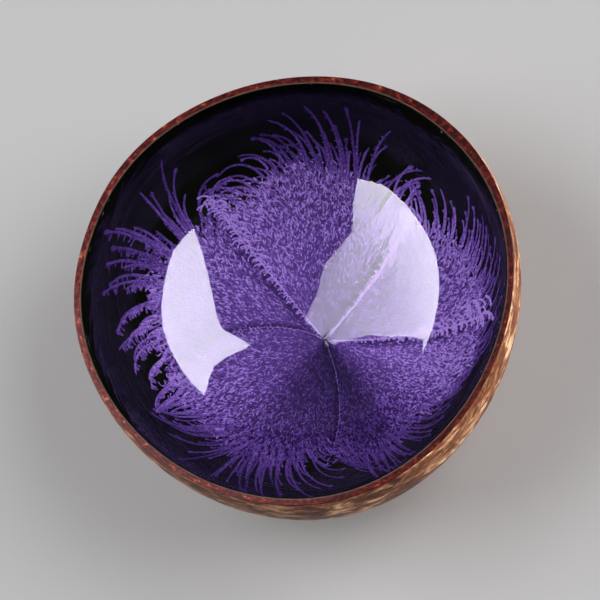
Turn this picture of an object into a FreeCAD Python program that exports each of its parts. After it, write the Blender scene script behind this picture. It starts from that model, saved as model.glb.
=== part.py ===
"""Polished half coconut shell, lacquered inside with a poured-paint bloom.

Frame: millimetres, +Z up, origin at the middle of the flat that the bowl stands on.
Heading is the angle round +Z from +X. Fall is the angle below the widest level: 90 degrees
at the tip, negative between the widest level and the rim.
"""
import FreeCAD, Part
import math
import os
from FreeCAD import Vector

# The nut and how it is sawn
NUT_RADIUS = 67.0            # outside, at the widest level, between ridges and flats
NUT_DEPTH = 53.8             # from the widest level down to the tip of the nut
RIM_ABOVE_WIDEST = 10.0      # the saw cut lies this far above the widest level
FOOT_SANDED_OFF = 1.2        # sanded off the tip so that the bowl stands
RIM_EASING = 0.4             # bevel that the polishing leaves on the rim's outer edge

# The three ridges that every coconut has
RIDGES = 3
RIDGE_HEADING = 44.0
OUTER_SWELL = 1.07           # the section is this much wider at the ridges, narrower between
OUTER_CRESTS = (-0.15, -1.1, 0.55)   # each ridge's own height above that; less where worn flat
CREST_SHARPNESS = 20.0
CAVITY_SWELL = 0.9
CAVITY_CRESTS = (-0.8, -0.85, 0.5)

# The shell's wall
WALL_AT_RIM = 1.6
WALL_AT_TIP = 4.0
CAVITY_SHIFT = 0.35          # the scraped cavity is a little off the nut's axis
CAVITY_SHIFT_HEADING = 290.0

# Coats laid on the cavity, from the wood inwards
PRIMER_COAT = 0.3
GROUND_COAT = 0.3
PAINT_POUR = 0.14
TOP_COAT = 0.6               # over the ground coat; it buries the pours

# The poured-paint bloom: seams run outwards from the eye, a pour spreads between two seams
EYE_RADIUS = 0.6             # bare dot where the pours meet
SEAM_ANGLES = (              # heading at the eye, heading at the end, degrees from the tip
    (47.0, 52.0, 62.0),
    (128.5, 129.5, 66.0),
    (150.0, 205.0, 56.0),
    (293.0, 267.0, 56.0),
    (356.0, 360.0, 60.0),
)
POUR_ANGLES = {              # from seam to seam: degrees from the tip, evenly spaced across
    "back": (70.0, 79.0, 82.0, 77.0, 76.0),
    "left": (78.0, 94.0, 88.0, 82.0, 66.0),
    "front_left": (61.0, 62.0, 62.0, 64.0, 62.0),
    "front_right": (62.0, 56.0, 54.0, 60.0, 66.0),
    "right": (68.0, 76.0, 79.0, 77.0, 70.0),
}

# How finely the curved skins are laid out
COLUMNS = 24
ROWS = 6
SKIN_START = 20.0            # heading where each skin closes on itself, clear of the seams
SEAM_POINTS = 5

RIM_Z = NUT_DEPTH - FOOT_SANDED_OFF + RIM_ABOVE_WIDEST
WIDEST_Z = RIM_Z - RIM_ABOVE_WIDEST
FULL_FALL = math.pi / 2
TURN = 360.0


def polar(length, heading):
    angle = math.radians(heading)
    return Vector(length * math.cos(angle), length * math.sin(angle), 0)


def ridge_wave(heading):
    """1 along a ridge, -1 midway between two."""
    return math.cos(RIDGES * math.radians(heading - RIDGE_HEADING))


def crest_at(heading, number):
    """1 along the numbered ridge, falling to 0 on both sides of it."""
    away = math.radians(heading - RIDGE_HEADING - number * TURN / RIDGES)
    return math.exp(CREST_SHARPNESS * (math.cos(away) - 1))


class Skin:
    """One surface of revolution-like form: an outside, a cavity or the top of a coat."""

    def __init__(self, radius, depth, swell, crests, offset=Vector()):
        self.radius = radius
        self.depth = depth
        self.swell = swell
        self.crests = crests
        self.offset = offset

    def bulge(self, heading):
        crests = [crest * crest_at(heading, number) for number, crest in enumerate(self.crests)]
        return self.swell * ridge_wave(heading) + sum(crests)

    def point(self, heading, fall):
        flat = math.cos(fall)
        out = polar(flat * (self.radius + flat * self.bulge(heading)), heading)
        return out + self.offset + Vector(0, 0, WIDEST_Z - self.depth * math.sin(fall))

    def slope(self, heading, fall):
        """Change of the point with its fall."""
        flat, steep = math.cos(fall), math.sin(fall)
        out = polar(-steep * (self.radius + 2 * flat * self.bulge(heading)), heading)
        return out - Vector(0, 0, self.depth * flat)

    def fall_at(self, z):
        return math.asin((WIDEST_Z - z) / self.depth)

    def inner(self, coat):
        """The skin that lies one coat further in."""
        return Skin(self.radius - coat, self.depth - coat, self.swell, self.crests, self.offset)

    def headings(self):
        return [SKIN_START + TURN * column / COLUMNS for column in range(COLUMNS)]

    def face(self, highest_z, lowest_fall=FULL_FALL):
        """Smooth face, closed round the bowl, between a height and a fall."""
        top = self.fall_at(highest_z)
        falls = [top + (lowest_fall - top) * row / (ROWS - 1) for row in range(ROWS)]
        rings = [ring_poles([self.point(h, fall) for h in self.headings()]) for fall in falls]
        starts = ring_poles([self.slope(h, falls[0]) for h in self.headings()])
        ends = ring_poles([self.slope(h, falls[-1]) for h in self.headings()])
        ribs = [rib(*line, falls) for line in zip(zip(*rings), starts, ends)]
        circle = ring([polar(1.0, heading) for heading in self.headings()])
        surface = Part.BSplineSurface()
        surface.buildFromPolesMultsKnots([each.getPoles() for each in ribs],
                                         circle.getMultiplicities(),
                                         ribs[0].getMultiplicities(),
                                         circle.getKnots(), ribs[0].getKnots(),
                                         True, False, 3, 3)
        return surface.toShape()


def ring(points):
    """Smooth closed curve through one level's points."""
    curve = Part.BSplineCurve()
    spacing = [index / len(points) for index in range(len(points) + 1)]
    curve.interpolate(Points=points, PeriodicFlag=True, Parameters=spacing)
    return curve


def ring_poles(points):
    """Control points of a level, which at the tip is a single point."""
    if points[0].distanceToPoint(points[len(points) // 2]) < 1e-6:
        return [points[0]] * (len(points) + 1)
    return ring(points).getPoles()


def rib(points, start, end, falls):
    """Smooth curve from the rim downwards with the given slopes at its ends."""
    curve = Part.BSplineCurve()
    curve.interpolate(Points=list(points), Parameters=falls, InitialTangent=start,
                      FinalTangent=end, Scale=False)
    return curve


# The skins, from the outside inwards
OUTSIDE = Skin(NUT_RADIUS, NUT_DEPTH, OUTER_SWELL, OUTER_CRESTS)
CAVITY = Skin(NUT_RADIUS - WALL_AT_RIM, NUT_DEPTH - WALL_AT_TIP, CAVITY_SWELL, CAVITY_CRESTS,
              polar(CAVITY_SHIFT, CAVITY_SHIFT_HEADING))
PRIMED = CAVITY.inner(PRIMER_COAT)
GROUND = PRIMED.inner(GROUND_COAT)
PAINTED = GROUND.inner(PAINT_POUR)
FINISHED = GROUND.inner(TOP_COAT)

# Pours are cut from the middle of the widest level
CENTRE = GROUND.offset + Vector(0, 0, WIDEST_Z)
EYE_REACH = math.degrees(EYE_RADIUS / GROUND.radius)
OUTLINE_SCALE = 1.6          # the outlines lie well outside the bowl
APEX_SCALE = 4.0


def level_ring(face, z):
    """The edge of a face that lies at one height, as a wire."""
    return Part.Wire([edge for edge in face.Edges if lies_at(edge, z)])


def lies_at(edge, z):
    box = edge.BoundBox
    return edge.Length > 1.0 and max(abs(box.ZMin - z), abs(box.ZMax - z)) < 1e-3


def flat_face(*rings):
    """Level face inside the first ring and outside the second, if there is one."""
    return Part.makeFace(rings, "Part::FaceMakerBullseye")


def closed_solid(*faces):
    shell = Part.makeShell(faces)
    shell.sewShape()
    return Part.Solid(shell)


def coconut_shell():
    """The nut between its outside and its cavity, with an eased rim and a sanded foot."""
    easing_z = RIM_Z - RIM_EASING
    outer = OUTSIDE.face(easing_z, OUTSIDE.fall_at(0))
    cavity = CAVITY.face(RIM_Z)
    eased = OUTSIDE.inner(RIM_EASING)
    lip = ring([eased.point(h, eased.fall_at(RIM_Z)) for h in eased.headings()]).toShape()
    bevel = Part.makeRuledSurface(level_ring(outer, easing_z).Edges[0], lip)
    rim = flat_face(Part.Wire([lip]), level_ring(cavity, RIM_Z))
    foot = flat_face(level_ring(outer, 0))
    return closed_solid(outer, bevel, rim, cavity, foot)


def coat(outer, inner):
    """The film between two skins, cut flush with the rim."""
    outer_face, inner_face = outer.face(RIM_Z), inner.face(RIM_Z)
    rim = flat_face(level_ring(outer_face, RIM_Z), level_ring(inner_face, RIM_Z))
    return closed_solid(outer_face, inner_face, rim)


def outline_point(heading, from_tip):
    """Point outside the bowl, in line with a spot on the ground coat."""
    spot = GROUND.point(heading, math.radians(90 - from_tip))
    return CENTRE + (spot - CENTRE) * OUTLINE_SCALE


def mix(start, end, share):
    return start + (end - start) * share


def seam(number):
    """A seam's heading at the eye, heading at its end, and reach; the first follows the last."""
    at_eye, at_end, reach = SEAM_ANGLES[number % len(SEAM_ANGLES)]
    turns = TURN * (number // len(SEAM_ANGLES))
    return at_eye + turns, at_end + turns, reach


def seam_points(number):
    """Points along a seam, from the eye out to its end."""
    at_eye, at_end, reach = seam(number)
    shares = [step / (SEAM_POINTS - 1) for step in range(SEAM_POINTS)]
    return [outline_point(mix(at_eye, at_end, share), mix(EYE_REACH, reach, share))
            for share in shares]


def edge_points(number, reaches):
    """Points along a pour's outer edge, between the ends of its two seams."""
    start, end = seam(number)[1], seam(number + 1)[1]
    step = (end - start) / (len(reaches) + 1)
    return [outline_point(start + step * (index + 1), reach)
            for index, reach in enumerate(reaches)]


def pour_outline(number, reaches):
    """Closed outline of a pour, on a skin that is larger than the bowl."""
    rising, falling = seam_points(number), seam_points(number + 1)
    outer = [rising[-1]] + edge_points(number, reaches) + [falling[-1]]
    middle = mix(seam(number)[0], seam(number + 1)[0], 0.5)
    eye = [falling[0], outline_point(middle, EYE_REACH), rising[0]]
    return Part.Wire([smooth_edge(points) for points in (rising, outer, falling[::-1], eye)])


def smooth_edge(points):
    curve = Part.BSplineCurve()
    curve.interpolate(Points=points)
    return curve.toShape()


def paint_pour(film, number, reaches):
    """The part of the paint film inside a pour's outline, as seen from the bowl's middle."""
    middle = mix(seam(number)[1], seam(number + 1)[1], 0.5)
    apex = CENTRE + (outline_point(middle, max(reaches) / 2) - CENTRE) * APEX_SCALE
    outline = pour_outline(number, reaches)
    cutter = Part.makeLoft([Part.Vertex(CENTRE), outline, Part.Vertex(apex)], True, True)
    if cutter.Volume < 0:
        cutter.reverse()
    return film.common(cutter)


def build():
    film = coat(GROUND, PAINTED)
    pours = {"paint_pour_" + name: paint_pour(film, number, reaches)
             for number, (name, reaches) in enumerate(POUR_ANGLES.items())}
    top = coat(GROUND, FINISHED)
    for pour in pours.values():
        top = top.cut(pour)
    return {
        "coconut_shell": coconut_shell(),
        "primer_coat": coat(CAVITY, PRIMED),
        "ground_coat": coat(PRIMED, GROUND),
        **pours,
        "clear_top_coat": top,
    }


os.makedirs("parts", exist_ok=True)
for node, shape in build().items():
    shape.exportStep("parts/" + node + ".step")
    print(node, shape.isValid(), len(shape.Solids), round(shape.Volume, 2))
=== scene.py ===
"""Looks of the lacquered coconut bowl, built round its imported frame. Lengths are metres."""

import math

import bpy
import numpy as np
from mathutils import Matrix, Vector, noise


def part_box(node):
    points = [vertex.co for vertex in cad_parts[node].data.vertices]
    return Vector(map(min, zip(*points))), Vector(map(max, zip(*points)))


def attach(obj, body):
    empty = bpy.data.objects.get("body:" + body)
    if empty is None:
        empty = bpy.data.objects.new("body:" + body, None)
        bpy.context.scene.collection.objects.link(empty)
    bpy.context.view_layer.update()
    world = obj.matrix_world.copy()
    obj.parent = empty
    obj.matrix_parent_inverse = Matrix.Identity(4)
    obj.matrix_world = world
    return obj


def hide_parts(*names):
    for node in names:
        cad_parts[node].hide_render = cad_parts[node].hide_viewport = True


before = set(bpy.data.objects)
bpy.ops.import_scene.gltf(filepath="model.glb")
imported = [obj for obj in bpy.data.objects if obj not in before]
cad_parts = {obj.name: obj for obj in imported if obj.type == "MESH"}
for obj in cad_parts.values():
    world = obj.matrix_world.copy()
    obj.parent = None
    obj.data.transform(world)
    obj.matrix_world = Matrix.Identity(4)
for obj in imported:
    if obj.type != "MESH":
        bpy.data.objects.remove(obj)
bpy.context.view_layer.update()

MM = 0.001
TURN = 360.0

# The nut, its wall and its coats, as they are built
NUT_RADIUS = 67.0 * MM
NUT_DEPTH = 53.8 * MM
RIM_ABOVE_WIDEST = 10.0 * MM
RIDGES = 3
RIDGE_HEADING = 44.0
OUTER_SWELL = 1.07 * MM
OUTER_CRESTS = (-0.15 * MM, -1.1 * MM, 0.55 * MM)
CREST_SHARPNESS = 20.0
CAVITY_SWELL = 0.9 * MM
CAVITY_CRESTS = (-0.8 * MM, -0.85 * MM, 0.5 * MM)
WALL_AT_RIM = 1.6 * MM
WALL_AT_TIP = 4.0 * MM
CAVITY_SHIFT = 0.35 * MM
CAVITY_SHIFT_HEADING = 290.0
PRIMER_COAT = 0.3 * MM
GROUND_COAT = 0.3 * MM
TOP_COAT = 0.6 * MM
RIM_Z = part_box("coconut_shell")[1][2]
WIDEST_Z = RIM_Z - RIM_ABOVE_WIDEST

# The bloom: five pours, each between two seams that run outwards from the eye of the nut
POUR_NAMES = ("back", "left", "front_left", "front_right", "right")
SEAM_ANGLES = (                # heading at the eye, heading at the end, degrees from the tip
    (47.0, 52.0, 62.0),
    (128.5, 129.5, 66.0),
    (150.0, 205.0, 56.0),
    (293.0, 267.0, 56.0),
    (356.0, 360.0, 60.0),
)


class Skin:
    """A smooth skin of the bowl, placed by heading and by spread, the degrees from the tip."""

    def __init__(self, radius, depth, swell, crests, shift=0.0):
        self.radius, self.depth = radius, depth
        self.swell, self.crests, self.shift = swell, crests, shift
        angle = math.radians(CAVITY_SHIFT_HEADING)
        self.offset = (shift * math.cos(angle), shift * math.sin(angle))

    def inner(self, coat):
        """The skin that a coat of this thickness leaves."""
        return Skin(self.radius - coat, self.depth - coat, self.swell, self.crests, self.shift)

    def bulge(self, heading):
        """How far the section stands out of its circle: three ridges, each with its own crest."""
        total = self.swell * np.cos(RIDGES * np.radians(heading - RIDGE_HEADING))
        for number, crest in enumerate(self.crests):
            away = np.radians(heading - RIDGE_HEADING - number * TURN / RIDGES)
            total = total + crest * np.exp(CREST_SHARPNESS * (np.cos(away) - 1))
        return total

    def rim(self, z=None):
        """Degrees from the tip at a height."""
        height = RIM_Z if z is None else z
        return 90.0 + math.degrees(math.asin((height - WIDEST_Z) / self.depth))

    def place(self, heading, spread):
        """Points, as an array whose last axis is x, y, z."""
        angle, out = np.radians(heading), np.radians(spread)
        flat = np.sin(out)
        reach = flat * (self.radius + flat * self.bulge(heading))
        x = reach * np.cos(angle) + self.offset[0]
        y = reach * np.sin(angle) + self.offset[1]
        z = WIDEST_Z - self.depth * np.cos(out) + 0 * angle
        return np.stack([x, y, z], axis=-1)

    def normal(self, heading, spread):
        """Unit normals that point into the bowl."""
        step = 0.05            # degrees
        around = self.place(heading + step, spread) - self.place(heading - step, spread)
        along = self.place(heading, spread + step) - self.place(heading, spread - step)
        cross = np.cross(along, around)
        return cross / np.linalg.norm(cross, axis=-1, keepdims=True)


OUTSIDE = Skin(NUT_RADIUS, NUT_DEPTH, OUTER_SWELL, OUTER_CRESTS)
CAVITY = Skin(NUT_RADIUS - WALL_AT_RIM, NUT_DEPTH - WALL_AT_TIP, CAVITY_SWELL, CAVITY_CRESTS,
              CAVITY_SHIFT)
GROUND = CAVITY.inner(PRIMER_COAT).inner(GROUND_COAT)
FINISHED = GROUND.inner(TOP_COAT)
TIP = np.array([0.0])          # heading and spread of a skin's tip


# ---------------------------------------------------------------- meshes

CREASE = math.radians(50.0)    # edges that turn more than this stay sharp


def add_mesh(name, points, faces, smooth=True):
    """Object from an array of points and a list of faces."""
    mesh = bpy.data.meshes.new(name)
    mesh.from_pydata([tuple(point) for point in points], [], faces)
    mesh.update()
    mesh.polygons.foreach_set("use_smooth", [smooth] * len(mesh.polygons))
    if smooth:
        mesh.set_sharp_from_angle(angle=CREASE)
    piece = bpy.data.objects.new(name, mesh)
    bpy.context.scene.collection.objects.link(piece)
    return piece


def set_values(piece, name, kind, values):
    """Stores one value per point, for the materials to read."""
    layer = piece.data.attributes.new(name, kind, "POINT")
    field = "vector" if kind == "FLOAT_VECTOR" else "value"
    layer.data.foreach_set(field, np.asarray(values, dtype=np.float32).ravel())


def closed_rings(rows, columns):
    """Faces of a stack of closed rings, whose two tip points follow the rings' own points."""
    first_tip, last_tip = rows * columns, rows * columns + 1
    faces = []
    for row in range(rows - 1):
        for column in range(columns):
            after = (column + 1) % columns
            low, high = row * columns, (row + 1) * columns
            faces.append((low + column, low + after, high + after, high + column))
    last = (rows - 1) * columns
    for column in range(columns):
        after = (column + 1) % columns
        faces.append((first_tip, after, column))
        faces.append((last + column, last + after, last_tip))
    return faces


def closed_sheet(rows, columns):
    """Faces of a thin closed sheet: the points of its top, then as many below them."""
    size = rows * columns
    faces = []
    for row in range(rows - 1):
        for column in range(columns - 1):
            corner = row * columns + column
            quad = (corner, corner + columns, corner + columns + 1, corner + 1)
            faces.append(quad)
            faces.append(tuple(size + each for each in quad[::-1]))
    border = ([row * columns for row in range(rows - 1, 0, -1)]
              + list(range(columns - 1))
              + [row * columns + columns - 1 for row in range(rows - 1)]
              + [(rows - 1) * columns + column for column in range(columns - 1, 0, -1)])
    for index, corner in enumerate(border):
        after = border[(index + 1) % len(border)]
        faces.append((corner, after, after + size, corner + size))
    return faces


# ---------------------------------------------------------------- the shell

SHELL_COLUMNS = 720
WALL_ROWS, BEVEL_ROWS, LIP_ROWS, CAVITY_ROWS = 200, 6, 10, 60
RIM_EASING = 0.4 * MM
RIM_FALL = 0.16 * MM           # the polished rim falls this much towards its outer edge
FIBRE_DEPTH = 0.10 * MM
FIBRE_MARKS = 14.0             # how many marks fit along a radius
MARK_LENGTH = 14.0             # degrees up the wall
PIT_SCALE, PIT_LEVEL = 3.1, -0.25      # pits are finer, and only where their noise is this low
POLISHED, SAWN = 0, 1          # material slots of the shell


def shell_relief(headings, spread):
    """Height of the fibre marks left in the polished outside."""
    heights = np.empty(len(headings))
    for index, angle in enumerate(np.radians(headings)):
        spot = Vector((FIBRE_MARKS * math.cos(angle), FIBRE_MARKS * math.sin(angle),
                       spread / MARK_LENGTH))
        marks = noise.noise(spot)
        pits = noise.noise(spot * PIT_SCALE + Vector((7.0, 3.0, 1.0)))
        heights[index] = marks * 0.6 + min(0.0, pits - PIT_LEVEL) * 1.2
    return heights * FIBRE_DEPTH


def shell_rings():
    """Rings of the shell from the foot up, over the rim and down to the cavity's tip, and for
    each ring the material slot of the faces that follow it."""
    headings = np.arange(SHELL_COLUMNS) * TURN / SHELL_COLUMNS
    foot = math.degrees(math.acos(WIDEST_Z / NUT_DEPTH))
    eased = OUTSIDE.rim(RIM_Z - RIM_EASING)
    rings = []
    for spread in np.linspace(foot, eased, WALL_ROWS):
        points = OUTSIDE.place(headings, spread)
        normals = OUTSIDE.normal(headings, spread)
        fade = min(1.0, (spread - foot) / 2.0, (eased - spread) / 1.5)
        relief = shell_relief(headings, spread) * max(fade, 0.0)
        rings.append(points - normals * relief[:, None])
    wide = OUTSIDE.place(headings, eased)
    inner = CAVITY.place(headings, CAVITY.rim())
    outward = wide - inner
    outward[:, 2] = 0
    outward /= np.linalg.norm(outward, axis=1, keepdims=True)
    for turn in np.linspace(15.0, 90.0, BEVEL_ROWS):
        angle = math.radians(turn)
        ring = wide - outward * RIM_EASING * (1 - math.cos(angle))
        ring[:, 2] = RIM_Z - RIM_FALL - (RIM_EASING - RIM_FALL) * (1 - math.sin(angle))
        rings.append(ring)
    lip = rings[-1]
    for share in np.linspace(0.1, 1.0, LIP_ROWS):
        ring = lip + (inner - lip) * share
        ring[:, 2] = RIM_Z - RIM_FALL * (1 - share) ** 1.5
        rings.append(ring)
    for spread in np.linspace(CAVITY.rim() - 1.0, 1.0, CAVITY_ROWS):
        rings.append(CAVITY.place(headings, spread))
    slots = [POLISHED] * WALL_ROWS + [SAWN] * (BEVEL_ROWS + LIP_ROWS) + [POLISHED] * CAVITY_ROWS
    return headings, rings, slots


def polished_shell():
    """The shell: its grain runs round the nut and up the wall."""
    headings, rings, slots = shell_rings()
    rows, columns = len(rings), SHELL_COLUMNS
    foot_middle = np.array([[0, 0, rings[0][0][2]]])
    points = np.concatenate(rings + [foot_middle, CAVITY.place(TIP, TIP)])
    piece = add_mesh("polished_shell", points, closed_rings(rows, columns))
    steps = np.diff(np.array([ring[0] for ring in rings]), axis=0)
    travelled = np.concatenate([[0.0], np.cumsum(np.linalg.norm(steps, axis=1))])
    angle = np.radians(headings)
    grain = np.zeros((len(points), 3))
    for row in range(rows):
        part = slice(row * columns, (row + 1) * columns)
        grain[part, 0] = np.cos(angle)
        grain[part, 1] = np.sin(angle)
        grain[part, 2] = travelled[row] / NUT_RADIUS
    set_values(piece, "grain", "FLOAT_VECTOR", grain)
    piece.data.materials.append(polished_wood())
    piece.data.materials.append(sawn_rim())
    for polygon in piece.data.polygons:
        polygon.material_index = slots[min(polygon.vertices) // columns]
    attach(piece, "root")
    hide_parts("coconut_shell")
    return piece


# ---------------------------------------------------------------- the poured bloom

EYE_SPREAD = 0.6               # degrees from the tip where the pours meet
FRINGE = (
    # heading, solid paint ends (degrees from the tip), lean of a frond at its root and at its
    # tip, then length, stem width and comb length in mm, and tone: partly the paint's own and
    # partly painted light, lighter near the two reflections and darker at the front
    (10.0, 54.0, 28.0, 56.0, 20.0, 0.80, 0.0, 0.66),
    (23.0, 53.0, 25.0, 48.0, 17.0, 0.95, 0.0, 0.78),
    (36.0, 49.0, 22.0, 58.0, 14.0, 1.10, 0.0, 0.90),
    (45.0, 46.0, 34.0, 84.0, 15.0, 1.15, 0.0, 0.92),
    (53.0, 40.0, 20.0, -50.0, 20.0, 1.15, 0.3, 0.98),
    (62.0, 39.0, 6.0, -70.0, 25.0, 1.15, 0.5, 0.80),
    (70.0, 43.0, 0.0, -50.0, 27.0, 1.15, 0.7, 0.62),
    (75.0, 49.0, 0.0, -14.0, 31.0, 1.35, 0.7, 0.52),
    (80.0, 51.0, 6.0, 14.0, 26.0, 1.35, 0.8, 0.50),
    (87.0, 53.0, 5.0, 26.0, 28.0, 1.40, 0.9, 0.50),
    (93.0, 56.0, 10.0, 72.0, 21.0, 1.25, 0.7, 0.52),
    (100.0, 57.0, 12.0, 66.0, 19.0, 1.20, 0.6, 0.55),
    (107.0, 53.0, 18.0, 105.0, 16.0, 1.15, 0.0, 0.62),
    (117.0, 51.0, 30.0, 125.0, 14.0, 1.15, 0.0, 0.70),
    (126.0, 50.0, 10.0, 60.0, 12.0, 1.10, 0.0, 0.70),
    (131.0, 51.0, -12.0, -150.0, 17.0, 1.15, 0.0, 0.68),
    (137.0, 51.0, -14.0, -110.0, 20.0, 1.20, 0.3, 0.62),
    (141.0, 51.0, -10.0, -42.0, 31.0, 1.35, 0.7, 0.56),
    (147.0, 52.0, -5.0, 6.0, 31.0, 1.25, 0.8, 0.60),
    (151.0, 54.0, -3.0, 18.0, 37.0, 1.60, 2.2, 0.54),
    (158.0, 56.0, 5.0, 48.0, 29.0, 1.55, 2.2, 0.58),
    (165.0, 57.0, 15.0, 66.0, 23.0, 1.30, 2.1, 0.70),
    (173.0, 54.0, 22.0, 80.0, 19.0, 1.30, 1.9, 0.80),
    (181.0, 52.0, 18.0, 78.0, 21.0, 1.30, 1.9, 0.88),
    (190.0, 50.0, 24.0, 84.0, 18.0, 1.25, 1.7, 0.90),
    (198.0, 49.0, 20.0, 72.0, 17.0, 1.20, 1.5, 0.88),
    (207.0, 49.0, 10.0, 30.0, 14.0, 1.10, 0.8, 0.78),
    (216.0, 46.0, -10.0, -48.0, 17.0, 0.95, 0.0, 0.58),
    (230.0, 46.0, -28.0, -78.0, 24.0, 0.90, 0.0, 0.44),
    (240.0, 47.0, 2.0, 14.0, 21.0, 0.95, 0.3, 0.42),
    (250.0, 45.0, 8.0, 32.0, 24.0, 1.05, 0.4, 0.41),
    (260.0, 42.0, 18.0, 74.0, 23.0, 0.95, 0.0, 0.45),
    (270.0, 36.0, 30.0, 114.0, 17.0, 0.95, 0.0, 0.48),
    (281.0, 40.0, 22.0, 96.0, 15.0, 0.90, 0.0, 0.41),
    (291.0, 44.0, -2.0, 2.0, 13.0, 0.95, 0.0, 0.42),
    (300.0, 44.0, 4.0, 14.0, 17.0, 1.00, 0.0, 0.42),
    (312.0, 42.0, 22.0, 72.0, 14.0, 0.90, 0.0, 0.43),
    (323.0, 44.0, 28.0, 90.0, 12.0, 1.00, 0.0, 0.49),
    (336.0, 50.0, 32.0, 110.0, 9.0, 1.10, 0.0, 0.60),
    (350.0, 53.0, 28.0, 72.0, 17.0, 0.85, 0.0, 0.62),
)
BODY_TONES_AND_LIGHT = (
    # heading, tone of the paint between the eye and the fringe: partly its own, partly painted
    # light, lighter beside the reflections and darker at the front, where less light falls
    (0.0, 0.97), (40.0, 0.86), (60.0, 0.78), (90.0, 0.79), (120.0, 0.96), (150.0, 0.88),
    (195.0, 0.82), (215.0, 0.74), (240.0, 0.46), (270.0, 0.34), (300.0, 0.33), (325.0, 0.74),
    (345.0, 1.15),
)
RANKS = (
    # share of the way out to the edge, share of the full length, of the spacing, of the tone
    (0.97, 1.00, 1.00, 1.00),
    (1.00, 0.74, 1.00, 1.05),
    (0.98, 0.52, 0.80, 1.15),
    (0.94, 0.38, 0.62, 1.25),
    (0.89, 0.30, 0.52, 1.30),
    (0.84, 0.25, 0.50, 1.30),
)
SEAM_HOOKS = (
    # for each seam: the side that its hooks curl to, their length and stem width in mm, the
    # bulb at their tips, tone
    (1, 7.0, 1.10, 0.6, 1.70),
    (1, 8.5, 0.90, 0.6, 1.10),
    (-1, 3.0, 0.55, 0.5, 0.90),
    (-1, 3.0, 0.50, 0.5, 0.60),
    (-1, 6.0, 1.00, 1.1, 1.60),
)
HOOK_ROWS = (
    # share of a hook's full size and curl (less than nothing curls to the other side), degrees
    # that the roots stray from the seam, spacing in mm
    (1, 1, 1.5), (1, 9, 1.0), (-0.35, 1, 1.7),
)
HOOK_SHADE = 0.62              # painted shadow: how much darker the paint is under a seam's hooks
SEAM_START = 0.03              # share of the way out where a seam's ridge and hooks begin
RIDGE_WIDTH = 0.42             # share of the hooks' stem width
MARK_CURLS = (45.0, 20.0, 60.0, 60.0, 45.0)    # for each pour: degrees that its marks curl
FROND_POINTS, HOOK_POINTS, TOOTH_POINTS, MARK_POINTS = 24, 12, 5, 4
LOWEST, HIGHEST = 0.05 * MM, 0.17 * MM         # how far the marks lie over the ground coat
FROND_CLEARANCE = 3.0          # degrees that the fronds stay below the rim
TOOTHED = 0.15 * MM            # a frond whose comb is longer than this has teeth
FIRST_TOOTH = 4                # point of a frond where its teeth start
TOOTH_SHARE = 0.42             # share of the places along it that bear one
TOOTH_BASE = 0.72 * MM         # widest that a tooth is at its root
LATTICE = 64                   # cells of the noise before it repeats
BLOOM_SEED = 40


def value_noise(across, along, seed):
    """Smooth noise from 0 to 1 over a plane."""
    size = LATTICE
    table = np.random.default_rng(seed).random((size, size))
    x0, y0 = np.floor(across).astype(int), np.floor(along).astype(int)
    fx, fy = across - x0, along - y0
    fx, fy = fx * fx * (3 - 2 * fx), fy * fy * (3 - 2 * fy)
    x0, y0 = x0 % size, y0 % size
    x1, y1 = (x0 + 1) % size, (y0 + 1) % size
    low = table[x0, y0] * (1 - fx) + table[x1, y0] * fx
    high = table[x0, y1] * (1 - fx) + table[x1, y1] * fx
    return low * (1 - fy) + high * fy


def seam(number):
    """A seam's heading at the eye, heading at its end, and reach; the first follows the last."""
    at_eye, at_end, reach = SEAM_ANGLES[number % len(SEAM_ANGLES)]
    turns = TURN * (number // len(SEAM_ANGLES))
    return at_eye + turns, at_end + turns, reach


def round_table(table, heading):
    """The values of a table by heading, one array for each of its columns after the first."""
    first, last = table[0], table[-1]
    rows = np.array(((last[0] - TURN, *last[1:]), *table, (first[0] + TURN, *first[1:])))
    turned = np.mod(heading, TURN)
    return [np.interp(turned, rows[:, 0], rows[:, column]) for column in range(1, rows.shape[1])]


def fringe(heading):
    """The columns of the fringe's table at each heading."""
    return round_table(FRINGE, heading)


def body_tone_and_light(heading, outward):
    """Tone of the paint and painted light; painted shade darkens it round the eye."""
    tone = round_table(BODY_TONES_AND_LIGHT, heading)[0]
    return tone * (0.64 + 0.36 * np.clip(outward * 1.7, 0, 1))


def beside_seam(number, heading, spread):
    """How far places lie to the side of a seam, in metres, and the share of the way out."""
    at_eye, at_end, reach = seam(number)
    share = np.clip(spread / reach, 0, 1.3)
    turn = (heading - (at_eye + (at_end - at_eye) * share) + TURN / 2) % TURN - TURN / 2
    return np.radians(turn) * np.sin(np.radians(spread)) * GROUND.radius, share


def seam_shadow(heading, spread):
    """Painted shadow that darkens the paint under a seam's hooks, on the side that they curl to.
    """
    shadow = 1.0
    for number, (side, length, *_) in enumerate(SEAM_HOOKS):
        away, share = beside_seam(number, heading, spread)
        away = side * away
        under = np.exp(-(away / (length * (0.25 + 0.5 * share) * MM)) ** 2) * (away > -0.4 * MM)
        shadow = shadow * (1 - HOOK_SHADE * under * np.clip(share * 5, 0, 1))
    return shadow


def painted_share(at_end, reach):
    """How much of a seam lies between solid paint."""
    return min(1.0, fringe(at_end)[0] / reach)


def pour_place(number, across, outward):
    """Heading and spread for shares across a pour and outwards from the eye."""
    start, end = [at_eye + (at_end - at_eye) * outward * painted_share(at_end, reach)
                  for at_eye, at_end, reach in (seam(number), seam(number + 1))]
    heading = start + (end - start) * across
    reach = fringe(heading)[0]
    return heading, EYE_SPREAD + (reach - EYE_SPREAD) * outward


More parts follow.
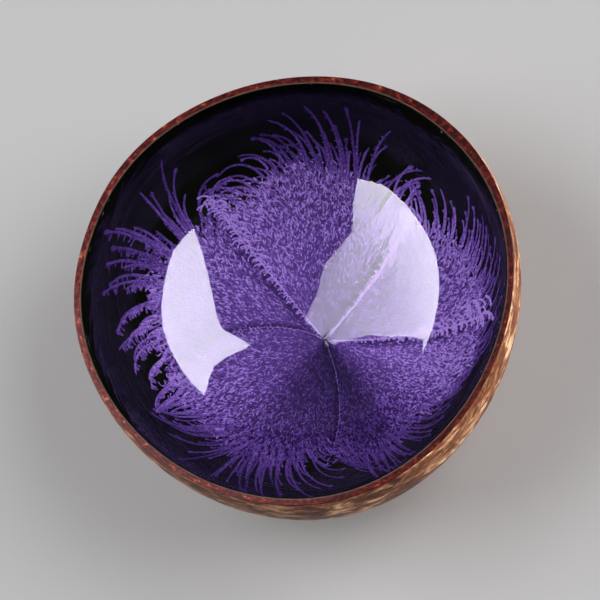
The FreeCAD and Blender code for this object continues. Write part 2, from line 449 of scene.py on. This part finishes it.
def grow(heading, spread, lean, tip_lean, length, bend=1.6, stations=FROND_POINTS):
    """Paths over the ground coat: headings and spreads at each station of each strand."""
    headings = np.empty((len(heading), stations))
    spreads = np.empty_like(headings)
    headings[:, 0], spreads[:, 0] = heading, spread
    degree = math.radians(1)
    for station in range(1, stations):
        share = (station - 0.5) / (stations - 1)
        turn = np.radians(lean + (tip_lean - lean) * share ** bend)
        out = np.radians(spreads[:, station - 1])
        step = length / (stations - 1)
        along = np.hypot(GROUND.radius * np.cos(out), GROUND.depth * np.sin(out)) * degree
        around = np.maximum(GROUND.radius * np.sin(out), 2 * MM) * degree
        spreads[:, station] = spreads[:, station - 1] + step * np.cos(turn) / along
        headings[:, station] = headings[:, station - 1] + step * np.sin(turn) / around
    return headings, spreads


STRAND_RISE = 0.16 * MM        # how far the widest strands stand up
SECTION = (
    # a strand's section: sideways, upwards, share of the tone, lower off the crest as painted
    # shade
    (-1.0, 0.0, 0.4), (-0.62, 0.9, 1.0), (0.62, 0.9, 1.0), (1.0, 0.0, 0.4), (0.5, -0.5, 0.3),
    (-0.5, -0.5, 0.3),
)


def strands(headings, spreads, widths, lift, tones):
    """Flattened closed strands of paint along the paths: points, faces and a tone per point."""
    count, stations = headings.shape
    sides = len(SECTION)
    tones, lift = np.broadcast_to(tones, headings.shape), np.broadcast_to(lift, headings.shape)
    centres = GROUND.place(headings, spreads)
    normals = GROUND.normal(headings, spreads)
    along = np.gradient(centres, axis=1)
    beside = np.cross(normals, along)
    beside /= np.linalg.norm(beside, axis=-1, keepdims=True) + 1e-12
    centres = centres + normals * lift[..., None]
    rings = [centres + beside * (widths * side / 2)[..., None] + normals
             * (np.minimum(widths * 0.3, STRAND_RISE) * up)[..., None] for side, up, _ in SECTION]
    points = np.stack(rings, axis=2).reshape(-1, 3)
    first = (np.arange(count)[:, None] * stations + np.arange(stations - 1)[None]) * sides
    quads = []
    for side in range(sides):
        after = (side + 1) % sides
        quads.append(np.stack([first + side, first + side + sides, first + after + sides,
                               first + after], axis=-1).reshape(-1, 4))
    quads = np.concatenate(quads).tolist()
    starts = np.arange(count) * stations * sides
    ends = starts + (stations - 1) * sides
    caps = [list(range(start, start + sides)) for start in starts]
    caps += [list(range(end + sides - 1, end - 1, -1)) for end in ends]
    # painted shade: the sides and underside of each strand are darker than its crest
    shading = np.array([share for _, _, share in SECTION])
    return points, quads + caps, (tones.reshape(-1, 1) * shading).reshape(-1)


class Paint:
    """Collects the bodies and strands of one pour."""

    def __init__(self):
        self.points, self.faces, self.tones = [], [], []
        self.total = 0

    def add(self, points, faces, tones):
        """Adds a mesh and the tone at each of its points."""
        self.points.append(points)
        self.faces += [[corner + self.total for corner in face] for face in faces]
        self.tones.append(tones)
        self.total += len(points)

    def piece(self, name):
        points = np.concatenate(self.points)
        piece = add_mesh(name, points, self.faces)
        set_values(piece, "tone", "FLOAT", np.concatenate(self.tones))
        set_values(piece, "flow", "FLOAT_VECTOR", flow_of(points))
        return piece


def flow_of(points):
    """Coordinates that run round the bowl and outwards from the eye, for streaks."""
    x, y = points[:, 0] - GROUND.offset[0], points[:, 1] - GROUND.offset[1]
    angle = np.arctan2(y, x)
    out = np.arccos(np.clip((WIDEST_Z - points[:, 2]) / GROUND.depth, -1, 1))
    return np.stack([np.cos(angle), np.sin(angle), out], axis=-1)


FILM_COLUMNS, FILM_ROWS = 150, 100
FILM_EDGE, FILM_BODY, FILM_RELIEF = 0.02 * MM, 0.06 * MM, 0.03 * MM     # how far it stands up
FILM_FOOTING = 0.03 * MM       # how deep its underside lies in the ground coat
FILM_RAGGED, FILM_SHORT = 6.0, 2.5     # degrees that its outer edge wanders, and stays back
FILM_SEED, RELIEF_SEED = 11, 5


def film(number):
    """The solid part of a pour: a thin closed film that feathers out at its edges."""
    across = np.linspace(0, 1, FILM_COLUMNS)[None, :].repeat(FILM_ROWS, axis=0)
    outward = np.linspace(0, 1, FILM_ROWS)[:, None].repeat(FILM_COLUMNS, axis=1)
    heading, spread = pour_place(number, across, outward)
    ragged = value_noise(heading * 0.55, heading * 0 + 3.0, FILM_SEED + number) - 0.5
    spread = spread + (ragged * FILM_RAGGED - FILM_SHORT) * outward ** 6
    normals = GROUND.normal(heading, np.maximum(spread, 1.0))
    ground = GROUND.place(heading, spread)
    edge = np.minimum.reduce([across * 12, (1 - across) * 12, (1 - outward) * 14,
                              np.ones_like(across)])
    relief = value_noise(heading * 2.2, spread * 0.7, RELIEF_SEED) - 0.5
    height = FILM_EDGE + (FILM_BODY + FILM_RELIEF * relief) * edge
    top = (ground + normals * height[..., None]).reshape(-1, 3)
    under = (ground - normals * FILM_FOOTING).reshape(-1, 3)
    tones = body_tone_and_light(heading, outward) * seam_shadow(heading, spread)
    tones = tones * (0.78 - 0.28 * np.clip(outward * 1.2, 0, 1))
    tones = tones * np.clip((1 - outward) / 0.1, 0.25, 1)
    tones = np.concatenate([tones.reshape(-1)] * 2)
    return np.concatenate([top, under]), closed_sheet(FILM_ROWS, FILM_COLUMNS), tones


def planted(number, outward, spacing, rng):
    """Shares across a pour for marks at a spacing that may change along it."""
    fine = np.linspace(0.005, 0.995, 200)
    heading, spread = pour_place(number, fine, outward)
    step = np.radians(np.gradient(heading)) * GROUND.radius * np.sin(np.radians(spread))
    total = np.cumsum(step / spacing(heading))
    count = max(3, int(total[-1]))
    return np.interp(np.arange(count) + rng.uniform(0.2, 0.8, count), total, fine)


def frond_spacing(heading):
    """Room that a frond and its comb take along the edge, more where it leans."""
    _, lean, tip_lean, _, width, comb, _ = fringe(heading)
    slant = np.cos(np.radians((lean + tip_lean) / 2))
    return ((1.2 + 1.2 * width) / np.maximum(slant, 0.62) + 1.2 * comb) * MM


def plant_rank(paint, number, rank, rng):
    """One rank of fronds along a pour's edge, with their combs."""
    place, share, closeness, gain = rank
    across = planted(number, place, lambda heading: frond_spacing(heading) * closeness, rng)
    count = len(across)
    outward = place + rng.normal(0, 0.02, count)
    heading, spread = pour_place(number, across, outward)
    _, lean, tip_lean, length, width, comb, tone = fringe(heading)
    inward = np.clip((1 - outward) * 2.2, 0, 0.6)
    lean = lean * (1 - inward) + rng.normal(0, 4, count)
    tip_lean = tip_lean * (1 - inward) + rng.normal(0, 9, count)
    length = length * share * rng.uniform(0.86, 1.1, count) * MM
    width = width * (0.74 + 0.26 * share) * rng.uniform(0.85, 1.12, count) * MM
    headings, spreads = grow(heading, spread, lean, tip_lean, length)
    spreads = np.minimum(spreads, GROUND.rim() - FROND_CLEARANCE)
    shares = np.linspace(0, 1, FROND_POINTS)[None, :]
    bulbs = np.where(rng.random(count) < np.where(comb < 0.3, 0.8, 0.3), 1.0, 0.0)[:, None]
    taper = 1.0 - 0.38 * shares + bulbs * np.exp(-((shares - 0.95) / 0.04) ** 2)
    widths = width[:, None] * taper
    widths[:, 0] *= 0.5
    widths[:, -1] *= 0.55
    tones = (tone * gain)[:, None] * (1.0 - 0.25 * shares) * rng.uniform(0.8, 1.15, (count, 1))
    lift = rng.uniform(LOWEST, HIGHEST, (count, 1))
    paint.add(*strands(headings, spreads, widths, lift, tones))
    comb_out(paint, headings, spreads, widths, comb * share ** 0.5 * MM, tones, lift, rng)


def scatter_marks(paint, number, rng):
    """Short overlapping marks that run outwards and make up the body of a pour."""
    for place in np.arange(0.05, 0.98, 0.018):
        size = 0.34 + 0.26 * place
        across = planted(number, place, lambda heading: 1.2 * size * MM, rng)
        count = len(across)
        heading, spread = pour_place(number, across, place + rng.normal(0, 0.03, count))
        lean = fringe(heading)[1] * place ** 3 + rng.normal(0, 22, count)
        length = rng.uniform(0.8, 2.2, count) * (0.6 + 0.5 * place) * MM
        tip_lean = lean + rng.normal(0, MARK_CURLS[number], count)
        headings, spreads = grow(heading, spread, lean, tip_lean, length, 1.0, MARK_POINTS)
        body = np.array([0.6, 1.0, 0.95, 0.5])[None, :]
        widths = size * rng.uniform(0.75, 1.3, (count, 1)) * MM * body
        tone = body_tone_and_light(heading, place) * seam_shadow(heading, spread)
        tone = tone[:, None] * rng.uniform(0.6, 1.5, (count, 1))
        lift = rng.uniform(LOWEST, HIGHEST, (count, 1))
        paint.add(*strands(headings, spreads, widths, lift, tone))


def comb_out(paint, headings, spreads, widths, comb, tones, lift, rng):
    """Short teeth down one side of the fronds that have a comb."""
    count, stations = headings.shape
    for station in range(FIRST_TOOTH, stations - 1):
        chosen = np.flatnonzero((comb > TOOTHED) & (rng.random(count) < TOOTH_SHARE))
        if not len(chosen):
            continue
        dh = headings[chosen, station] - headings[chosen, station - 1]
        ds = spreads[chosen, station] - spreads[chosen, station - 1]
        out = np.radians(spreads[chosen, station])
        along = np.hypot(GROUND.radius * np.cos(out), GROUND.depth * np.sin(out))
        lean = np.degrees(np.arctan2(dh * GROUND.radius * np.sin(out), ds * along))
        root_lean = lean + rng.uniform(45, 70, len(chosen))
        tip_lean = root_lean + rng.uniform(10, 70, len(chosen))
        size = comb[chosen] * rng.uniform(0.8, 1.7, len(chosen)) * (1.2 - 0.4 * station / stations)
        teeth = grow(headings[chosen, station], spreads[chosen, station], root_lean, tip_lean,
                     size, 1.0, TOOTH_POINTS)
        taper = np.array([0.9, 0.85, 0.8, 1.05, 0.5])[None, :]
        base = np.minimum(widths[chosen, station], TOOTH_BASE)[:, None]
        paint.add(*strands(*teeth, base * taper, lift[chosen], tones[chosen, station][:, None]))


def hook_seam(paint, number, rng):
    """A fine ridge along a seam, and hooks that curl from it, larger further out."""
    at_eye, at_end, reach = seam(number)
    painted = min(1.0, painted_share(at_end, reach) + 0.08)
    side, length, width, bulb, tone = SEAM_HOOKS[number]
    share = np.linspace(SEAM_START, 0.85 * painted, FROND_POINTS)[None, :]
    ridge_width = np.full_like(share, width * RIDGE_WIDTH * MM)
    paint.add(*strands(at_eye + (at_end - at_eye) * share, share * reach, ridge_width, HIGHEST,
                       tone))
    length_of_seam = painted * reach * math.radians(1) * GROUND.radius
    for turned, apart, spacing in HOOK_ROWS:
        count = int(length_of_seam / (spacing * MM))
        share = (np.arange(count) + rng.uniform(0.1, 0.9, count)) / count
        share = share * painted * 0.95 + SEAM_START
        heading = (at_eye + (at_end - at_eye) * share
                   - side * rng.uniform(0, apart, count) * share)
        size = length * (0.18 + 0.82 * share ** 1.5) * rng.uniform(0.5, 1.2, count) * MM
        lean = side * turned * rng.uniform(-25, 35, count)
        tip_lean = side * turned * rng.uniform(80, 170, count)
        headings, spreads = grow(heading, share * reach, lean, tip_lean, size * abs(turned), 1.2,
                                 HOOK_POINTS)
        shares = np.linspace(0, 1, HOOK_POINTS)[None, :]
        taper = 1 - 0.35 * shares + bulb * np.exp(-((shares - 0.92) / 0.08) ** 2)
        widths = width * MM * (0.45 + 0.55 * share)[:, None] * taper
        widths[:, 0] *= 0.5
        widths[:, -1] *= 0.4
        tones = tone * rng.uniform(0.8, 1.2, (count, 1))
        paint.add(*strands(headings, spreads, widths, HIGHEST, tones))


def paint_pours():
    """One piece for each pour: its film, marks, fringe, and the seam it starts at."""
    material = bloom_paint()
    for number, name in enumerate(POUR_NAMES):
        rng = np.random.default_rng(BLOOM_SEED + number)
        paint = Paint()
        paint.add(*film(number))
        scatter_marks(paint, number, rng)
        for rank in RANKS:
            plant_rank(paint, number, rank, rng)
        hook_seam(paint, number, rng)
        piece = paint.piece("bloom_" + name)
        piece.data.materials.append(material)
        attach(piece, "root")
        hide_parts("paint_pour_" + name)


# ---------------------------------------------------------------- the black ground coat

GROUND_COLUMNS, GROUND_ROWS = 360, 90
GROUND_START = 0.02            # share of the way up from the tip where the rings start


def black_ground():
    """The ground coat as a closed film: its underside up to the rim, then its face back down."""
    headings = np.arange(GROUND_COLUMNS) * TURN / GROUND_COLUMNS
    beneath = CAVITY.inner(PRIMER_COAT)
    rings = [beneath.place(headings, share * beneath.rim())
             for share in np.linspace(GROUND_START, 1, GROUND_ROWS // 2)]
    rings += [GROUND.place(headings, share * GROUND.rim())
              for share in np.linspace(1, GROUND_START, GROUND_ROWS)]
    points = np.concatenate(rings + [beneath.place(TIP, TIP), GROUND.place(TIP, TIP)])
    piece = add_mesh("black_ground", points, closed_rings(len(rings), GROUND_COLUMNS))
    piece.data.materials.append(black_lacquer())
    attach(piece, "root")
    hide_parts("ground_coat")
    return piece


# ---------------------------------------------------------------- the clear top coat

GLAZE_COLUMNS, GLAZE_ROWS = 720, 150
GLAZE_EASING = 0.45 * MM       # the lacquer drew back in a round from the rim
SANDED = 0.8 * MM              # sanding the rim dulled this much of the lacquer
THIN_FROM, THIN_TO = 32.0 * MM, 12.0 * MM      # below the rim: between them the sheen weakens
THIN_SHEEN = 0.45              # what is left of it at the rim
GLAZE_START = 0.012            # share of the way up from the tip where the rings start
GLAZE_FOOTING = 0.05 * MM      # how deep the top coat's underside lies in the ground coat
VALLEY_DEPTH, VALLEY_WIDTH = 0.012 * MM, 4.0 * MM
SWELL_HEIGHT = 0.02 * MM


def glaze_height(heading, spread):
    """Small swells of the top coat, and a shallow valley along each seam."""
    rise = 0 * heading
    for number, (_, _, reach) in enumerate(SEAM_ANGLES):
        away, _ = beside_seam(number, heading, spread)
        fade = np.exp(-np.maximum(spread - reach, 0) / 8.0) * np.clip(spread / 6.0, 0, 1)
        rise = rise - VALLEY_DEPTH * np.exp(-np.abs(away) / VALLEY_WIDTH) * fade
    angle = np.radians(heading)
    wave = value_noise(np.cos(angle) * 3 + 9, np.sin(angle) * 3 + spread / 22, 3) - 0.5
    return rise + SWELL_HEIGHT * wave


def clear_glaze():
    """The top coat as a closed film over the ground coat and the pours."""
    headings = np.arange(GLAZE_COLUMNS) * TURN / GLAZE_COLUMNS
    eased, low_rim = FINISHED.rim(RIM_Z - GLAZE_EASING), GROUND.rim()
    rings = []
    for share in np.linspace(GLAZE_START, 1.0, GLAZE_ROWS // 2):
        sunk = GROUND.normal(headings, max(share * low_rim, 1.0)) * GLAZE_FOOTING * (share < 1)
        rings.append(GROUND.place(headings, share * low_rim) - sunk)
    brim, side = GROUND.place(headings, low_rim), FINISHED.place(headings, eased)
    for turn in (72.0, 54.0, 36.0, 18.0):
        inwards = 1 - math.cos(math.radians(turn))
        ring = side + (brim - side) * inwards
        ring[:, 2] = RIM_Z - GLAZE_EASING * (1 - math.sin(math.radians(turn)))
        rings.append(ring)
    for share in np.linspace(1.0, GLAZE_START, GLAZE_ROWS):
        spread = share * eased
        ring = FINISHED.place(headings, spread)
        fade = min(1.0, (eased - spread) / 4.0)
        lift = glaze_height(headings, np.full(GLAZE_COLUMNS, spread)) * max(fade, 0.0)
        rings.append(ring + FINISHED.normal(headings, spread) * lift[:, None])
    tips = [GROUND.place(TIP, TIP) - (0, 0, GLAZE_FOOTING), FINISHED.place(TIP, TIP)]
    points = np.concatenate(rings + tips)
    piece = add_mesh("clear_glaze", points, closed_rings(len(rings), GLAZE_COLUMNS))
    below = RIM_Z - points[:, 2]
    full = np.clip((below - THIN_TO) / (THIN_FROM - THIN_TO), 0, 1)
    thinned = THIN_SHEEN + (1 - THIN_SHEEN) * full
    set_values(piece, "sheen", "FLOAT", np.clip(below / SANDED, 0, 1) * thinned)
    piece.data.materials.append(clear_lacquer())
    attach(piece, "root")
    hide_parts("clear_top_coat")
    return piece


# ---------------------------------------------------------------- materials

def new_material(name):
    material = bpy.data.materials.new(name)
    material.use_nodes = True
    tree = material.node_tree
    return material, tree, tree.nodes["Principled BSDF"]


def set_input(tree, socket, value):
    """Links a socket to another one, or gives it a plain value."""
    if hasattr(value, "is_output"):
        tree.links.new(value, socket)
    else:
        socket.default_value = value


def feed(tree, node, **inputs):
    """Sets a node's inputs by name."""
    for name, value in inputs.items():
        set_input(tree, node.inputs[name.replace("_", " ")], value)


def put(tree, kind, **inputs):
    """Adds a node and sets its inputs by name."""
    node = tree.nodes.new(kind)
    feed(tree, node, **inputs)
    return node


def calc(tree, operation, *values):
    """Adds a maths node and sets its inputs in order."""
    node = tree.nodes.new("ShaderNodeMath")
    node.operation = operation
    for socket, value in zip(node.inputs, values):
        set_input(tree, socket, value)
    return node.outputs["Value"]


def blend_colours(tree, kind, share, first, second):
    """Adds a colour mix node of a kind, such as MIX or MULTIPLY."""
    node = tree.nodes.new("ShaderNodeMix")
    node.data_type = "RGBA"
    node.blend_type = kind
    feed(tree, node, Factor=share, A=first, B=second)
    return node.outputs["Result"]


def ramp(tree, factor, stops):
    """Colour ramp from (place, colour) stops."""
    node = tree.nodes.new("ShaderNodeValToRGB")
    node.color_ramp.elements.remove(node.color_ramp.elements[0])
    first = node.color_ramp.elements[0]
    for index, (place, colour) in enumerate(stops):
        element = first if index == 0 else node.color_ramp.elements.new(place)
        element.position = place
        element.color = (*colour, 1.0)
    tree.links.new(factor, node.inputs["Fac"])
    return node.outputs["Color"]


def attribute(tree, name):
    node = tree.nodes.new("ShaderNodeAttribute")
    node.attribute_name = name
    return node


def new_effect(name, inputs, output):
    """A node group with named sockets: its tree, the sockets it is given, and its output."""
    group = bpy.data.node_groups.new(name, "ShaderNodeTree")
    for label, kind in inputs.items():
        group.interface.new_socket(label, in_out="INPUT", socket_type="NodeSocket" + kind)
    group.interface.new_socket(output[0], in_out="OUTPUT", socket_type="NodeSocket" + output[1])
    given = group.nodes.new("NodeGroupInput").outputs
    return group, given, group.nodes.new("NodeGroupOutput").inputs[output[0]]


def streaks_effect():
    """Noise that is drawn out along the coordinates it is given."""
    group, given, streaks = new_effect("streaks", {
        "Vector": "Vector", "Stretch": "Vector", "Detail": "Float", "Roughness": "Float",
        "Distortion": "Float"}, ("Streaks", "Float"))
    stretched = put(group, "ShaderNodeMapping", Vector=given["Vector"], Scale=given["Stretch"])
    marks = put(group, "ShaderNodeTexNoise", Vector=stretched.outputs["Vector"], Scale=1.0,
                Detail=given["Detail"], Roughness=given["Roughness"],
                Distortion=given["Distortion"])
    group.links.new(marks.outputs["Fac"], streaks)
    return group


def side_shade_effect():
    """A value that changes from one side of the nut to the other."""
    group, given, shade = new_effect("side shade", {
        "Vector": "Vector", "Start": "Float", "End": "Float", "At Start": "Float",
        "At End": "Float"}, ("Shade", "Float"))
    split = put(group, "ShaderNodeSeparateXYZ", Vector=given["Vector"])
    change = put(group, "ShaderNodeMapRange", Value=split.outputs["X"], From_Min=given["Start"],
                 From_Max=given["End"], To_Min=given["At Start"], To_Max=given["At End"])
    group.links.new(change.outputs["Result"], shade)
    return group


def cloudy_coat_effect():
    """Colour of a coat that drifts between a dark and a light one."""
    group, given, colour = new_effect("cloudy coat", {
        "Vector": "Vector", "Scale": "Float", "Dark": "Color", "Light": "Color"},
        ("Color", "Color"))
    clouds = put(group, "ShaderNodeTexNoise", Vector=given["Vector"], Scale=given["Scale"],
                 Detail=3.0)
    share = put(group, "ShaderNodeMapRange", Value=clouds.outputs["Fac"], From_Min=0.35,
                From_Max=0.65)
    drift = blend_colours(group, "MIX", share.outputs["Result"], given["Dark"], given["Light"])
    group.links.new(drift, colour)
    return group


STREAKS, SIDE_SHADE, CLOUDY_COAT = streaks_effect(), side_shade_effect(), cloudy_coat_effect()


def place_effect(tree, group, **inputs):
    """Output of an effect, placed in a material with its own values."""
    node = tree.nodes.new("ShaderNodeGroup")
    node.node_tree = group
    feed(tree, node, **inputs)
    return node.outputs[0]


def polished_wood():
    """Brown wood with pale flecks, and painted light that makes the right lamp's side lighter."""
    material, tree, shader = new_material("polished coconut wood")
    grain = attribute(tree, "grain").outputs["Vector"]
    flecks = place_effect(tree, STREAKS, Vector=grain, Stretch=(8.5, 8.5, 19.0), Detail=7.0,
                          Roughness=0.68, Distortion=0.5)
    broad = put(tree, "ShaderNodeTexNoise", Vector=grain, Scale=1.6, Detail=3.0)
    # painted light: the side towards the right lamp is coloured lighter, on top of the broad tone
    painted_light_side = place_effect(tree, SIDE_SHADE, Vector=grain, Start=-0.1, End=0.8, At_Start=-0.26,
                         At_End=0.36)
    shade = calc(tree, "ADD", broad.outputs["Fac"], painted_light_side)
    base = ramp(tree, flecks, [
        (0.34, (0.045, 0.011, 0.004)), (0.47, (0.155, 0.046, 0.014)),
        (0.55, (0.40, 0.19, 0.080)), (0.63, (0.91, 0.65, 0.41))])
    tint = ramp(tree, shade, [(0.35, (0.66, 0.48, 0.36)), (0.72, (2.1, 2.05, 2.1))])
    feed(tree, shader, Base_Color=blend_colours(tree, "MULTIPLY", 1.0, base, tint),
         Roughness=0.45, Specular_IOR_Level=0.1, Coat_Weight=0.04, Coat_Roughness=0.2)
    return material


def sawn_rim():
    """Dark red sawn edge with pale specks, a little lighter on the other side."""
    material, tree, shader = new_material("sawn rim")
    grain = attribute(tree, "grain").outputs["Vector"]
    specks = place_effect(tree, STREAKS, Vector=grain, Stretch=(32.0, 32.0, 60.0), Detail=5.0,
                          Roughness=0.6)
    lighter = place_effect(tree, SIDE_SHADE, Vector=grain, Start=0.3, End=-0.9, At_End=0.06)
    base = ramp(tree, calc(tree, "ADD", specks, lighter), [
        (0.42, (0.020, 0.002, 0.002)), (0.56, (0.080, 0.007, 0.006)),
        (0.66, (0.18, 0.020, 0.012)), (0.84, (0.80, 0.36, 0.18))])
    feed(tree, shader, Base_Color=base, Roughness=0.4, Specular_IOR_Level=0.04,
         Coat_Weight=0.03, Coat_Roughness=0.1)
    return material


def bloom_paint():
    """Purple paint from near black to lilac by its tone, with fine strokes."""
    material, tree, shader = new_material("bloom paint")
    flow = attribute(tree, "flow").outputs["Vector"]
    tone = attribute(tree, "tone").outputs["Fac"]
    strokes = place_effect(tree, STREAKS, Vector=flow, Stretch=(130.0, 130.0, 60.0), Detail=2.5,
                           Roughness=0.55, Distortion=0.5)
    contrast = put(tree, "ShaderNodeMapRange", Value=strokes, From_Min=0.36, From_Max=0.66,
                   To_Max=0.6)
    light = calc(tree, "MULTIPLY", tone, contrast.outputs["Result"])
    base = ramp(tree, calc(tree, "MULTIPLY_ADD", tone, 0.60, light), [
        (0.04, (0.008, 0.005, 0.016)), (0.22, (0.034, 0.015, 0.095)),
        (0.46, (0.125, 0.058, 0.32)), (0.75, (0.33, 0.17, 0.70)), (1.0, (0.55, 0.34, 0.95))])
    bump = put(tree, "ShaderNodeBump", Height=strokes, Strength=0.15, Distance=0.0002)
    feed(tree, shader, Base_Color=base, Roughness=0.5, Specular_IOR_Level=0.0,
         Normal=bump.outputs["Normal"])
    return material


def clear_lacquer():
    """Lacquer that is seen through, and mirrors on its outer face only."""
    material, tree, shader = new_material("clear lacquer")
    tree.nodes.remove(shader)
    through = put(tree, "ShaderNodeBsdfTransparent", Color=(0.985, 0.98, 1.0, 1.0))
    gloss = put(tree, "ShaderNodeBsdfGlossy", Roughness=0.03)
    mirrored = put(tree, "ShaderNodeFresnel", IOR=1.42).outputs[0]
    sheen = attribute(tree, "sheen").outputs["Fac"]
    inner_face = put(tree, "ShaderNodeNewGeometry").outputs["Backfacing"]
    seen_directly = put(tree, "ShaderNodeLightPath").outputs["Is Camera Ray"]
    share = calc(tree, "MULTIPLY", mirrored, sheen)
    share = calc(tree, "MULTIPLY", share, calc(tree, "SUBTRACT", 1.0, inner_face))
    share = calc(tree, "MULTIPLY", share, seen_directly)   # nothing is mirrored a second time
    blend = put(tree, "ShaderNodeMixShader")
    for socket, value in zip(blend.inputs, (share, through.outputs[0], gloss.outputs[0])):
        tree.links.new(value, socket)
    tree.links.new(blend.outputs[0], tree.nodes["Material Output"].inputs["Surface"])
    return material


def black_lacquer():
    material, tree, shader = new_material("black lacquer")
    place = put(tree, "ShaderNodeTexCoord").outputs["Object"]
    base = place_effect(tree, CLOUDY_COAT, Vector=place, Scale=60.0,
                        Dark=(0.0045, 0.0055, 0.003, 1.0), Light=(0.008, 0.009, 0.007, 1.0))
    feed(tree, shader, Base_Color=base, Roughness=0.4, Specular_IOR_Level=0.0)
    return material


def primer():
    material, tree, shader = new_material("sealing primer")
    place = put(tree, "ShaderNodeTexCoord").outputs["Object"]
    base = place_effect(tree, CLOUDY_COAT, Vector=place, Scale=400.0,
                        Dark=(0.040, 0.020, 0.012, 1.0), Light=(0.090, 0.050, 0.030, 1.0))
    feed(tree, shader, Base_Color=base, Roughness=0.5, Specular_IOR_Level=0.1)
    return material


def dress(node, material):
    """Gives a carried-over node its finish."""
    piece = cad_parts[node]
    piece.data.materials.clear()
    piece.data.materials.append(material)


# ---------------------------------------------------------------- stage

FLOOR_REACH = 1.5
CAMERA_LENS, CAMERA_SENSOR = 143.07, 36.0              # millimetres
CAMERA_FROM = Vector((0.1200, -0.2156, 0.6551))        # from the middle of the rim
CAMERA_AT = Vector((0.0025, -0.0056, 0.0))
CAMERA_ROLL = 0.67
LAMP_DISTANCE, SOFTBOX_DISTANCE = 1.4, 2.0
ROOM_GLOW = 0.15
RIGHT_SOFTBOX = (              # azimuth and elevation of each corner, seen from the bowl
    (-34, 24), (-8, 17), (14, 9), (40, 8), (54, 11), (56, 18), (43, 42), (42, 50), (45, 62),
    (31, 59), (20, 54), (4, 52), (-12, 47), (-26, 37),
)
LEFT_SOFTBOX = (
    (242, 25), (222, 20), (190, 16), (150, 14), (134, 15), (144, 26), (155, 32), (154, 44),
    (148, 58), (122, 68), (100, 82), (200, 84), (238, 73), (232, 54), (240, 40),
)


def pale_floor():
    reach = FLOOR_REACH
    corners = [(-reach, -reach, 0), (reach, -reach, 0), (reach, reach, 0), (-reach, reach, 0)]
    floor = add_mesh("floor", corners, [(0, 1, 2, 3)], smooth=False)
    material, tree, shader = new_material("floor")
    feed(tree, shader, Base_Color=(0.56, 0.56, 0.57, 1), Roughness=0.9, Specular_IOR_Level=0.0)
    floor.data.materials.append(material)


def camera():
    data = bpy.data.cameras.new("camera")
    data.lens, data.sensor_width = CAMERA_LENS, CAMERA_SENSOR
    data.clip_start, data.clip_end = 0.01, 10.0
    eye = bpy.data.objects.new("camera", data)
    middle = Vector((0, 0, RIM_Z))
    place, target = middle + CAMERA_FROM, middle + CAMERA_AT
    forward = (target - place).normalized()
    roll = math.radians(CAMERA_ROLL)
    right = forward.cross(Vector((-math.sin(roll), math.cos(roll), 0))).normalized()
    up = right.cross(forward)
    matrix = Matrix((right, up, -forward)).transposed().to_4x4()
    matrix.translation = place
    eye.matrix_world = matrix
    bpy.context.scene.collection.objects.link(eye)
    bpy.context.scene.camera = eye


def direction(azimuth, elevation):
    """Unit vector from the bowl towards a lamp."""
    flat = math.cos(math.radians(elevation))
    return Vector((flat * math.cos(math.radians(azimuth)), flat * math.sin(math.radians(azimuth)),
                   math.sin(math.radians(elevation))))


def softbox(name, corners, low, high):
    """A curved panel that only glossy surfaces see; its glow runs from low to high upwards."""
    places = [direction(*corner) * SOFTBOX_DISTANCE for corner in corners]
    panel = add_mesh(name, places, [tuple(range(len(places)))], smooth=False)
    material, tree, shader = new_material(name)
    tree.nodes.remove(shader)
    place = put(tree, "ShaderNodeTexCoord").outputs["Object"]
    split = put(tree, "ShaderNodeSeparateXYZ", Vector=place)
    power = put(tree, "ShaderNodeMapRange", Value=split.outputs["Z"], From_Min=0.0,
                From_Max=SOFTBOX_DISTANCE, To_Min=low, To_Max=high)
    glow = put(tree, "ShaderNodeEmission", Color=(0.95, 0.93, 1.0, 1),
               Strength=power.outputs["Result"])
    tree.links.new(glow.outputs[0], tree.nodes["Material Output"].inputs["Surface"])
    panel.data.materials.append(material)
    panel.visible_camera = False
    panel.visible_diffuse = False
    panel.visible_shadow = False
    panel.visible_transmission = False


def area_light(name, azimuth, elevation, size, power):
    """A square lamp that faces the bowl and lights it without being mirrored."""
    data = bpy.data.lights.new(name, "AREA")
    data.shape = "RECTANGLE"
    data.size, data.size_y = size, size
    data.energy = power
    lamp = bpy.data.objects.new(name, data)
    lamp.location = direction(azimuth, elevation) * LAMP_DISTANCE
    lamp.rotation_euler = (-lamp.location).to_track_quat("-Z", "Y").to_euler()
    lamp.visible_glossy = False
    bpy.context.scene.collection.objects.link(lamp)


def lights():
    area_light("right_lamp", 14, 50, 0.9, 12.0)
    area_light("left_lamp", 180, 55, 0.9, 11.0)
    softbox("right_softbox", RIGHT_SOFTBOX, 27.0, 25.0)
    softbox("left_panel", LEFT_SOFTBOX, 36.0, 9.0)
    world = bpy.data.worlds.new("room")
    world.use_nodes = True
    feed(world.node_tree, world.node_tree.nodes["Background"], Color=(1, 1, 1, 1),
         Strength=ROOM_GLOW)
    bpy.context.scene.world = world


# ---------------------------------------------------------------- the bowl

polished_shell()
dress("primer_coat", primer())
black_ground()
paint_pours()
clear_glaze()
pale_floor()
camera()
lights()
bpy.context.scene.view_settings.view_transform = "Standard"
